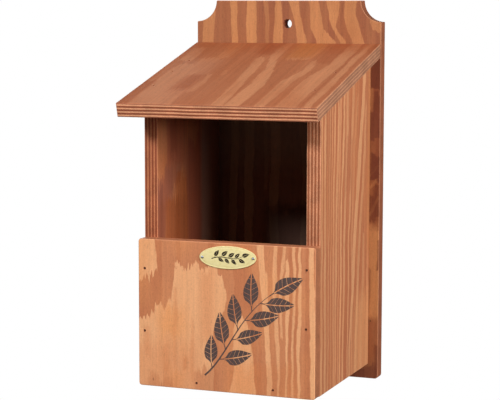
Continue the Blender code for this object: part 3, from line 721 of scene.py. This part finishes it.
def turned_form(tree, sides, half_width, half_height, profile):
    """A turned form, round or oval: a grid wrapped round the axis by its half profile, in mm."""
    rows = {"Size X": 1.0, "Size Y": 1.0, "Vertices X": len(profile), "Vertices Y": sides}
    grid = add(tree, "GeometryNodeMeshGrid", rows)
    spot = add(tree, SPLIT, (add(tree, POSITION),)).outputs
    row = add(tree, MATH, (spot["X"], 0.5), "ADD")
    angle = add(tree, MATH, (spot["Y"], math.tau, math.pi), "MULTIPLY_ADD")
    last = len(profile) - 1
    values = []
    for numbers in zip(*profile):
        low = min(numbers)
        reach = max(numbers) - low
        curve = add(tree, "ShaderNodeFloatCurve", {"Value": row})
        draw_curve(curve, 0, [(index / last, (number - low) / reach) for index, number in enumerate(numbers)])
        values.append(add(tree, MATH, (curve, reach, low), "MULTIPLY_ADD"))
    inset, height = values
    wide = add(tree, MATH, (half_width, inset), "SUBTRACT")
    tall = add(tree, MATH, (half_height, inset), "SUBTRACT")
    x = add(tree, MATH, (wide, add(tree, MATH, (angle,), "COSINE")), "MULTIPLY")
    y = add(tree, MATH, (tall, add(tree, MATH, (angle,), "SINE")), "MULTIPLY")
    placed = add(tree, SET_POSITION, {"Geometry": grid, "Position": add(tree, JOIN, (x, y, height))})
    welded = add(tree, "GeometryNodeMergeByDistance", {"Geometry": placed, "Distance": 0.002})
    return add(tree, TRANSFORM, {"Geometry": welded, "Scale": (MM, MM, MM)})


def close_tree(tree, value, made, geometry):
    """End a tree with real geometry and the material that it was given."""
    real = add(tree, REALIZE, {"Geometry": geometry})
    painted = add(tree, "GeometryNodeSetMaterial", {"Geometry": real, "Material": value["Material"]})
    feed(tree, made, {"Geometry": painted})


def grown_piece(name, tree, values, base=None):
    """Run a geometry node tree on a base mesh and keep the result as a plain mesh piece."""
    base = base or bpy.data.meshes.new(name + "_base")
    maker = bpy.data.objects.new(name + "_maker", base)
    bpy.context.scene.collection.objects.link(maker)
    modifier = maker.modifiers.new("nodes", "NODES")
    modifier.node_group = tree
    sockets = {item.name: item.identifier for item in tree.interface.items_tree if item.in_out == "INPUT"}
    for label, value in values.items():
        modifier[sockets[label]] = value
    bpy.context.view_layer.update()
    mesh = bpy.data.meshes.new_from_object(maker.evaluated_get(bpy.context.evaluated_depsgraph_get()))
    bpy.data.objects.remove(maker, do_unlink=True)
    bm = bmesh.new()
    bm.from_mesh(mesh)
    bmesh.ops.recalc_face_normals(bm, faces=bm.faces)
    bm.to_mesh(mesh)
    bm.free()
    if not mesh.polygons:
        raise RuntimeError(name + " came out empty")
    mesh.name = name
    mesh.shade_smooth()
    mesh.set_sharp_from_angle(angle=SHARP_EDGE)
    piece = bpy.data.objects.new(name, mesh)
    bpy.context.scene.collection.objects.link(piece)
    return piece


def fasteners_tree(name, sides, radius, profile):
    """A tree that stands one turned fastener on each point, its head turned against the drive direction."""
    inputs = [("Geometry", "Geometry"), ("Seed", "Int", 3), ("Material", "Material")]
    tree, value, made = new_group(name, "GeometryNodeTree", inputs, [("Geometry", "Geometry")])
    form = turned_form(tree, sides, radius, radius, profile)
    drive = add(tree, "GeometryNodeInputNamedAttribute", {"Name": "drive"}, data_type="FLOAT_VECTOR")
    upward = add(tree, VECTOR_MATH, {0: drive, "Scale": -1.0}, "SCALE")
    stood = add(tree, "FunctionNodeAlignRotationToVector", {"Vector": upward}, axis="Z")
    spin = add(tree, RANDOM, {"Max": math.tau, "Seed": value["Seed"]}, data_type="FLOAT")
    turn = add(tree, "FunctionNodeAxisAngleToRotation", {"Axis": (0, 0, 1), "Angle": spin})
    turns = {"Rotation": stood, "Rotate By": turn}
    facing = add(tree, "FunctionNodeRotateRotation", turns, rotation_space="LOCAL")
    row = {"Points": value["Geometry"], "Instance": form, "Rotation": facing}
    close_tree(tree, value, made, add(tree, ON_POINTS, row))
    return tree


def leaf_nodes(tree):
    """A leaf of unit length cut as a stencil: its rib and its side veins are gaps between flat lobes."""
    lobe = {"Size": (1.0 - LEAF_VEIN, 1.0, 1.0), "Vertices X": 5, "Vertices Y": 4, "Vertices Z": 2}
    row = add(tree, "GeometryNodeMeshLine", {"Count": LEAF_LOBES, "Offset": (1, 0, 0)})
    row = add(tree, ON_POINTS, {"Points": row, "Instance": add(tree, CUBE, lobe)})
    row = add(tree, REALIZE, {"Geometry": row})
    spot = add(tree, SPLIT, (add(tree, POSITION),)).outputs
    share = add(tree, MATH, (spot["X"], 1 / LEAF_LOBES, 0.5 / LEAF_LOBES), "MULTIPLY_ADD")
    side = add(tree, MATH, (spot["Y"], 0.5), "ADD")
    left = add(tree, MATH, (1.0, share), "SUBTRACT")
    lean = add(tree, MATH, (side, left), "MULTIPLY")
    slant = add(tree, MATH, (lean, LEAF_LEAN, share), "MULTIPLY_ADD")
    belly = add(tree, MATH, (slant, LEAF_BELLY), "POWER")
    belly = add(tree, MATH, (belly, math.pi), "MULTIPLY")
    width = add(tree, MATH, (belly,), "SINE")
    width = add(tree, MATH, (width, LEAF_HALF_WIDTH), "MULTIPLY")
    outward = add(tree, MATH, (side, width, LEAF_RIB), "MULTIPLY_ADD")
    placed = add(tree, JOIN, (slant, outward, spot["Z"]))
    half = add(tree, SET_POSITION, {"Geometry": row, "Position": placed})
    other = add(tree, TRANSFORM, {"Geometry": half, "Scale": (1, -1, 1)})
    stalk = add(tree, CUBE, {"Size": (LEAF_STALK + STALK_LAP, STALK_WIDTH, 0.9)})
    stalk = add(tree, TRANSFORM, {"Geometry": stalk, "Translation": ((STALK_LAP - LEAF_STALK) / 2, 0, 0)})
    leaf = add(tree, "GeometryNodeJoinGeometry")
    for part in (half, other, stalk):
        feed(tree, leaf, (add(tree, TRANSFORM, {"Geometry": part, "Translation": (LEAF_STALK, 0, 0)}),))
    arch = add(tree, MATH, (spot["X"], spot["X"]), "MULTIPLY")
    droop = add(tree, MATH, (arch, LEAF_DROOP), "MULTIPLY")
    return add(tree, SET_POSITION, {"Geometry": leaf, "Offset": add(tree, JOIN, (0.0, droop))})


def sprig_tree():
    """A printed sprig: a tapered stem with leaves by turns on both sides of it. Lengths are in mm."""
    inputs = [("Geometry", "Geometry")]
    inputs += [(label, "Vector") for label in ("Root", "Root Pull", "Tip Pull", "Tip", "Place", "Turn")]
    inputs += [("Leaves", "Int", 9), ("Leaf Length", "Float", 25.0), ("Leaf Angle", "Float", 0.85)]
    inputs += [("Stem Width", "Float", 1.5), ("Tip Width", "Float", 0.4), ("Ink", "Float", 0.08)]
    inputs += [("Seed", "Int", 2), ("Material", "Material")]
    tree, value, made = new_group("printed_sprig", "GeometryNodeTree", inputs, [("Geometry", "Geometry")])
    whole = add(tree, "GeometryNodeJoinGeometry")
    line = add(tree, "GeometryNodeCurvePrimitiveBezierSegment", {
        "Resolution": 48, "Start": value["Root"], "Start Handle": value["Root Pull"],
        "End Handle": value["Tip Pull"], "End": value["Tip"]}, mode="POSITION")

    # The stem is a bar bent along the line
    bar = add(tree, CUBE, {"Size": (1, 1, 0.8), "Vertices X": 40, "Vertices Y": 2, "Vertices Z": 2})
    spot = add(tree, SPLIT, (add(tree, POSITION),)).outputs
    share = add(tree, MATH, (spot["X"], 0.5), "ADD")
    on_line = add(tree, ON_CURVE, {"Curves": line, "Factor": share}, mode="FACTOR").outputs
    heading = add(tree, SPLIT, (on_line["Tangent"],)).outputs
    sideways = add(tree, JOIN, (add(tree, MATH, (heading["Y"], -1.0), "MULTIPLY"), heading["X"]))
    taper = add(tree, RANGE, {"Value": share, "To Min": value["Stem Width"], "To Max": value["Tip Width"]})
    reach = add(tree, MATH, (spot["Y"], taper), "MULTIPLY")
    beside = add(tree, VECTOR_MATH, {0: sideways, "Scale": reach}, "SCALE")
    bent = add(tree, VECTOR_MATH, (on_line["Position"], beside), "ADD")
    bent = add(tree, VECTOR_MATH, (bent, add(tree, JOIN, (0.0, 0.0, spot["Z"]))), "ADD")
    stem = add(tree, SET_POSITION, {"Geometry": bar, "Position": bent})

    # The leaves stand on knots along the line, left and right by turns, the last one at its tip
    number = add(tree, "GeometryNodeInputIndex")
    steps = add(tree, MATH, (value["Leaves"], 1.0), "SUBTRACT")
    along = add(tree, RANGE, {"Value": number, "From Max": steps, "To Min": 0.1})
    knot = add(tree, ON_CURVE, {"Curves": line, "Factor": along}, mode="FACTOR").outputs
    row = add(tree, "GeometryNodeMeshLine", {"Count": value["Leaves"]})
    row = add(tree, SET_POSITION, {"Geometry": row, "Position": knot["Position"]})
    odd = add(tree, MATH, (number, 2.0), "MODULO")
    hand = add(tree, MATH, (odd, -2.0, 1.0), "MULTIPLY_ADD")
    course = add(tree, SPLIT, (knot["Tangent"],)).outputs
    bearing = add(tree, MATH, (course["Y"], course["X"]), "ARCTAN2")
    below_tip = add(tree, MATH, (along, 0.999), "LESS_THAN")
    spread = add(tree, MATH, (hand, value["Leaf Angle"]), "MULTIPLY")
    bearing = add(tree, MATH, (spread, below_tip, bearing), "MULTIPLY_ADD")
    facing = add(tree, "FunctionNodeEulerToRotation", {"Euler": add(tree, JOIN, (0.0, 0.0, bearing))})
    vary = add(tree, RANDOM, {"Min": 0.86, "Max": 1.1, "Seed": value["Seed"]}, data_type="FLOAT")
    size = add(tree, MATH, (vary, value["Leaf Length"]), "MULTIPLY")
    other_hand = add(tree, MATH, (hand, -1.0), "MULTIPLY")
    mirrored = add(tree, MATH, (size, other_hand), "MULTIPLY")
    leaves = add(tree, ON_POINTS, {
        "Points": row, "Instance": leaf_nodes(tree), "Rotation": facing,
        "Scale": add(tree, JOIN, (size, mirrored, 1.0))})

    for part in (stem, leaves):
        feed(tree, whole, (part,))
    thick = add(tree, MATH, (value["Ink"], MM), "MULTIPLY")
    printed = add(tree, TRANSFORM, {
        "Geometry": whole, "Translation": value["Place"], "Rotation": value["Turn"],
        "Scale": add(tree, JOIN, (MM, MM, thick))})
    close_tree(tree, value, made, printed)
    return tree


def head_points(name, nodes, drive):
    """A mesh with one point on the head of each packed fastener, and the direction that it is driven in."""
    drive = Vector(drive)
    heads = []
    for node in nodes:
        corners = [vertex.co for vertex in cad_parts[node].data.vertices]
        nearest = min(corner.dot(drive) for corner in corners)
        top = [corner for corner in corners if corner.dot(drive) < nearest + HEAD_DEPTH * MM]
        heads.append(sum(top, Vector()) / len(top))
    mesh = bpy.data.meshes.new(name + "_heads")
    mesh.from_pydata(heads, [], [])
    attribute = mesh.attributes.new("drive", "FLOAT_VECTOR", "POINT")
    attribute.data.foreach_set("vector", [part for _ in heads for part in drive])
    return mesh


def settle(piece, slot, *nodes):
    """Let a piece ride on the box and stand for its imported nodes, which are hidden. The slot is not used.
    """
    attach(piece, "root")
    if nodes:
        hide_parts(*nodes)


def length_setting(name, description, default):
    """A setting for a length in metres."""
    return FloatProperty(name=name, description=description, default=default, unit="LENGTH")


def colour_setting(name, description, code):
    """A setting for a colour, from its hex code."""
    return FloatVectorProperty(
        name=name, description=description, default=linear(code), subtype="COLOR", size=3)


class NestBoxBoards(bpy.types.PropertyGroup):
    """Sizes and finish of the plywood."""

    thickness: length_setting("Sheet thickness", "Thickness of the plywood", 0.012)
    inner_plies: IntProperty(
        name="Inner plies", description="Plies between the two face veneers", default=7, min=1)
    face_veneer: length_setting("Face veneer", "Thickness of each face veneer", 0.001)
    fibre_relief: length_setting("Fibre relief", "Height of the raised fibres", 0.00006)
    roughness: FloatProperty(
        name="Roughness", description="Mean roughness of the stained wood", default=0.6, subtype="FACTOR")
    # How far the arrises are lightened: worn stain, and a painted highlight
    arris_wear_and_highlight: FloatProperty(
        name="Arris wear", description="How far the stain is rubbed off the arrises", default=0.9,
        subtype="FACTOR")
    fleck_depth: FloatProperty(
        name="Fleck depth", description="How dark the small flecks are", default=0.16, subtype="FACTOR")
    # The colour of the arrises where they are worn and carry a painted highlight
    wear_and_highlight_colour: colour_setting("Wear and highlight colour", "Colour of the rubbed arrises", "#D99C74")


class NestBoxFasteners(bpy.types.PropertyGroup):
    """Sizes of the brads and pins."""

    brad_sides: IntProperty(name="Brad sides", description="Sides of a turned brad", default=17, min=7)
    brad_head: length_setting("Brad head", "Diameter of a brad's head", 0.0017)
    pin_sides: IntProperty(name="Pin sides", description="Sides of a turned pin", default=33, min=7)
    pin_head: length_setting("Pin head", "Diameter of a pin's head", 0.0022)
    pin_rise: length_setting("Pin rise", "Height of a pin's dome over the plate", 0.0007)


class NestBoxPlate(bpy.types.PropertyGroup):
    """Size of the oval plate."""

    width: length_setting("Plate width", "Length of the oval", 0.0494)
    height: length_setting("Plate height", "Height of the oval", 0.0187)
    tilt: FloatProperty(
        name="Plate tilt", description="Turn of the plate on the board", default=math.radians(1.3),
        unit="ROTATION")


class NestBoxPrint(bpy.types.PropertyGroup):
    """The printed sprigs."""

    leaves: IntProperty(name="Leaves", description="Leaves on each sprig", default=9, min=2)
    leaf_length: FloatProperty(
        name="Leaf length", description="Length of a leaf on the front board in mm", default=26.0, min=1)
    small_length: FloatProperty(
        name="Small leaf length", description="Length of a leaf on the plate in mm", default=6.2, min=1)
    ink_colour: colour_setting("Ink", "Colour of the ink on the front board", "#4F3F3B")
    plate_ink: colour_setting("Plate ink", "Colour of the ink on the plate", "#241910")


class NestBoxStudio(bpy.types.PropertyGroup):
    """Lights and floor."""

    key_power: FloatProperty(
        name="Key power", description="Power of the front light in watts", default=20.6, min=0)
    side_power: FloatProperty(
        name="Side power", description="Power of the light on the right in watts", default=26.0, min=0)
    rear_power: FloatProperty(
        name="Rear power", description="Power of the low light behind in watts", default=16.0, min=0)
    ambient: FloatProperty(
        name="Ambient", description="Strength of the room's own light", default=0.05, min=0)
    floor_height: length_setting("Floor height", "Height of the floor below the hung box", -1.2)
    floor_radius: length_setting("Floor radius", "Radius of the floor disc", 12.0)


class NESTBOX_OT_boards(bpy.types.Operator):
    """Stain the six plywood boards"""

    bl_idname = "nestbox.boards"
    bl_label = "Plywood boards"

    def execute(self, context):
        settings = context.scene.nestbox_boards
        inner = settings.thickness - 2 * settings.face_veneer
        groups = {
            "place": board_place_group(),
            "streak": streak_group(),
            "wash": wash_group(),
            "mark": mark_group(),
            "edge": ply_edge_group(inner / settings.inner_plies / MM, inner / 2 / MM),
        }
        for name in BOARDS:
            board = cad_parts[name]
            material = plywood_material(name, settings, groups)
            for index in range(len(board.data.materials)):
                board.data.materials[index] = material
        return {"FINISHED"}


class NESTBOX_OT_brads(bpy.types.Operator):
    """Drive the brads of the front, the roof and the back"""

    bl_idname = "nestbox.brads"
    bl_label = "Brads"

    def execute(self, context):
        settings = context.scene.nestbox_fasteners
        tree = fasteners_tree("driven_brads", settings.brad_sides, settings.brad_head / 2 / MM, BRAD_PROFILE)
        # Plain steel under the stain: dull, red-brown and nearly black in the dished heads
        steel = metal_material("brad_steel", "#5E2E1E", "#3A1A10", 0.6, 0.15)
        into_roof = tuple(-part for part in ROOF_OUT)
        for board, drive, seed in (("front", (0, 1, 0), 3), ("roof", into_roof, 5), ("back", (0, -1, 0), 8)):
            nodes = sorted(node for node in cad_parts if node.startswith("brad_" + board))
            if not nodes:
                raise RuntimeError("the packed box has no brads for the " + board)
            heads = head_points(board, nodes, drive)
            piece = grown_piece(board + "_brads", tree, {"Seed": seed, "Material": steel}, heads)
            settle(piece, "brad_steel", *nodes)
        return {"FINISHED"}


class NESTBOX_OT_plate(bpy.types.Operator):
    """Fix the oval plate and its two pins"""

    bl_idname = "nestbox.plate"
    bl_label = "Oval plate"

    def execute(self, context):
        plate = context.scene.nestbox_plate
        fasteners = context.scene.nestbox_fasteners
        inputs = [("Geometry", "Geometry"), *((label, "Vector") for label in ("Place", "Turn", *PIN_SEATS))]
        inputs += [("Hole", "Float", 0.8 * MM), ("Drill", "Float", 4 * MM), ("Material", "Material")]
        tree, value, made = new_group("oval_plate", "GeometryNodeTree", inputs, [("Geometry", "Geometry")])
        form = turned_form(
            tree, PLATE_SIDES, plate.width / 2 / MM, plate.height / 2 / MM, PLATE_PROFILE)
        place = {"Geometry": form, "Translation": value["Place"], "Rotation": value["Turn"]}
        placed = add(tree, TRANSFORM, place)
        drill = add(tree, "GeometryNodeMeshCylinder", {
            "Vertices": DRILL_SIDES, "Radius": value["Hole"], "Depth": value["Drill"]})
        both = add(tree, "GeometryNodeJoinGeometry")
        for label in PIN_SEATS:
            aimed = {"Geometry": drill, "Translation": value[label], "Rotation": (math.pi / 2, 0, 0)}
            feed(tree, both, (add(tree, TRANSFORM, aimed),))
        cut = {"Mesh 1": placed, "Mesh 2": both}
        bored = add(tree, "GeometryNodeMeshBoolean", cut, "DIFFERENCE", solver="EXACT")
        close_tree(tree, value, made, bored)
        centre = (PLATE_LOW + PLATE_HIGH) / 2
        # Lacquered brass: pale, satin and a little milky
        brass = metal_material("plate_brass", "#F0E0A4", "#E8D694", 0.42, 0.18)
        values = {"Place": (centre.x, PLATE_HIGH.y, centre.z), "Turn": (math.pi / 2, -plate.tilt, 0)}
        for label, pin in PIN_SEATS.items():
            seat = sum(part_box(pin), Vector()) / 2
            values[label] = (seat.x, centre.y, seat.z)
        piece = grown_piece("oval_plate", tree, {**values, "Material": brass})
        settle(piece, "plate_brass", "name_plate")
        # Bright plated steel: hard small highlights
        steel = metal_material("pin_steel", "#A4A8B2", "#84878F", 0.34, 1.0)
        radius = fasteners.pin_head / 2 / MM
        pin_tree = fasteners_tree("dome_pins", fasteners.pin_sides, radius, PIN_PROFILE)
        heads = head_points("pins", PIN_SEATS.values(), (0, 1, 0))
        for vertex in heads.vertices:
            vertex.co.y += fasteners.pin_rise
        pins = grown_piece("plate_pins", pin_tree, {"Material": steel}, heads)
        settle(pins, "pin_steel", *PIN_SEATS.values())
        return {"FINISHED"}


class NESTBOX_OT_print(bpy.types.Operator):
    """Print a sprig on the front board and a small one on the plate"""

    bl_idname = "nestbox.print"
    bl_label = "Printed sprigs"

    def execute(self, context):
        settings = context.scene.nestbox_print
        tilt = context.scene.nestbox_plate.tilt
        tree = sprig_tree()
        centre = (PLATE_LOW + PLATE_HIGH) / 2
        settle(grown_piece("front_sprig", tree, {
            "Root": (-18.0, 13.0, 0.0), "Root Pull": (2.0, 30.0, 0.0),
            "Tip Pull": (10.0, 62.0, 0.0), "Tip": (38.0, 82.0, 0.0),
            "Leaves": settings.leaves, "Leaf Length": settings.leaf_length,
            "Place": (0.0, FACE_LOW.y, 0.0), "Turn": (math.pi / 2, 0.0, 0.0),
            "Material": ink_material("front_ink", settings.ink_colour, 1.5),
        }), "print_ink")
        settle(grown_piece("plate_sprig", tree, {
            "Root": (-14.0, -1.2, 0.0), "Root Pull": (-5.0, 3.2, 0.0),
            "Tip Pull": (4.0, -3.4, 0.0), "Tip": (11.5, 0.6, 0.0),
            "Leaves": settings.leaves, "Leaf Length": settings.small_length, "Stem Width": 0.7,
            "Ink": 0.14, "Seed": 4,
            "Place": (centre.x, PLATE_LOW.y, centre.z), "Turn": (math.pi / 2, -tilt, 0.0),
            "Material": ink_material("plate_ink", settings.plate_ink, 1.2),
        }), "print_ink")
        return {"FINISHED"}


class NESTBOX_OT_studio(bpy.types.Operator):
    """Set up the floor, the lights, the room and the camera"""

    bl_idname = "nestbox.studio"
    bl_label = "Studio"

    def execute(self, context):
        settings = context.scene.nestbox_studio
        scene = context.scene
        scene.view_settings.view_transform = "Standard"

        inputs = [("Geometry", "Geometry"), ("Radius", "Float", 1.0), ("Material", "Material")]
        tree, value, made = new_group("studio_floor", "GeometryNodeTree", inputs, [("Geometry", "Geometry")])
        disc = {"Vertices": 64, "Radius": value["Radius"]}
        close_tree(tree, value, made, add(tree, "GeometryNodeMeshCircle", disc, fill_type="NGON"))
        # Pale paper, seen as plain white by the camera
        pale, paper, shader = new_material("pale_floor")
        coordinates = add(paper, "ShaderNodeTexCoord")
        mottle = add(paper, NOISE, {"Vector": coordinates.outputs["Object"], "Scale": 3.0})
        grey = add(paper, RANGE, {"Value": mottle, "To Min": 0.84, "To Max": 0.9})
        feed(paper, shader, {"Base Color": grey, "Roughness": 0.9})
        shown = add(paper, "ShaderNodeEmission", {"Color": opaque((1, 1, 1)), "Strength": 1.0})
        seen = add(paper, "ShaderNodeLightPath").outputs["Is Camera Ray"]
        both = add(paper, "ShaderNodeMixShader", (seen, shader, shown))
        feed(paper, paper.nodes["Material Output"], {"Surface": both})
        floor = grown_piece("studio_floor", tree, {"Radius": settings.floor_radius, "Material": pale})
        floor.location.z = settings.floor_height

        scene.world = bpy.data.worlds.new("studio_room")
        scene.world.use_nodes = True
        room = scene.world.node_tree
        seen = add(room, "ShaderNodeLightPath").outputs["Is Camera Ray"]
        strength = add(room, RANGE, {"Value": seen, "To Min": settings.ambient, "To Max": 1.0})
        feed(room, room.nodes["Background"], {"Color": opaque((1, 1, 1)), "Strength": strength})

        for name, azimuth, elevation, distance, size, power in (
            ("front_softbox", -25, 32, 1.7, 0.26, settings.key_power),
            ("side_softbox", 64, 22, 1.5, 0.9, settings.side_power),
            ("rear_softbox", 205, 6, 1.8, 1.0, settings.rear_power),
        ):
            lamp = bpy.data.lights.new(name, "AREA")
            lamp.shape = "SQUARE"
            lamp.size = size
            lamp.energy = power
            holder = bpy.data.objects.new(name, lamp)
            scene.collection.objects.link(holder)
            turn, lift = math.radians(azimuth), math.radians(elevation)
            level = math.cos(lift)
            outward = Vector((math.sin(turn) * level, -math.cos(turn) * level, math.sin(lift)))
            holder.location = LIT_POINT + distance * outward
            holder.rotation_euler = outward.to_track_quat("Z", "Y").to_euler()

        camera = bpy.data.cameras.new("photo_camera")
        camera.lens = CAMERA_LENS
        camera.clip_start = 0.05
        camera.clip_end = 60.0
        viewer = bpy.data.objects.new("photo_camera", camera)
        scene.collection.objects.link(viewer)
        viewer.location = CAMERA_PLACE
        viewer.rotation_euler = [math.radians(angle) for angle in CAMERA_TURN]
        scene.camera = viewer
        return {"FINISHED"}


class NESTBOX_PT_panel(bpy.types.Panel):
    """The nest box's settings and steps."""

    bl_idname = "NESTBOX_PT_panel"
    bl_label = "Nest Box"
    bl_space_type = "VIEW_3D"
    bl_region_type = "UI"
    bl_category = "Nest Box"

    def draw(self, context):
        for operator, group in STEPS:
            self.layout.operator(operator.bl_idname)
            settings = getattr(context.scene, group)
            for label in settings.__annotations__:
                self.layout.prop(settings, label)


SETTINGS = {
    "nestbox_boards": NestBoxBoards,
    "nestbox_fasteners": NestBoxFasteners,
    "nestbox_plate": NestBoxPlate,
    "nestbox_print": NestBoxPrint,
    "nestbox_studio": NestBoxStudio,
}
STEPS = (
    (NESTBOX_OT_boards, "nestbox_boards"),
    (NESTBOX_OT_brads, "nestbox_fasteners"),
    (NESTBOX_OT_plate, "nestbox_plate"),
    (NESTBOX_OT_print, "nestbox_print"),
    (NESTBOX_OT_studio, "nestbox_studio"),
)
CLASSES = (*SETTINGS.values(), *(operator for operator, _ in STEPS), NESTBOX_PT_panel)


def register():
    for item in CLASSES:
        bpy.utils.register_class(item)
    for name, group in SETTINGS.items():
        setattr(bpy.types.Scene, name, PointerProperty(type=group))


def unregister():
    for name in SETTINGS:
        delattr(bpy.types.Scene, name)
    for item in reversed(CLASSES):
        bpy.utils.unregister_class(item)


def main():
    """Make every piece in order."""
    register()
    bpy.ops.nestbox.boards()
    bpy.ops.nestbox.brads()
    bpy.ops.nestbox.plate()
    bpy.ops.nestbox.print()
    bpy.ops.nestbox.studio()


if __name__ == "__main__":
    main()
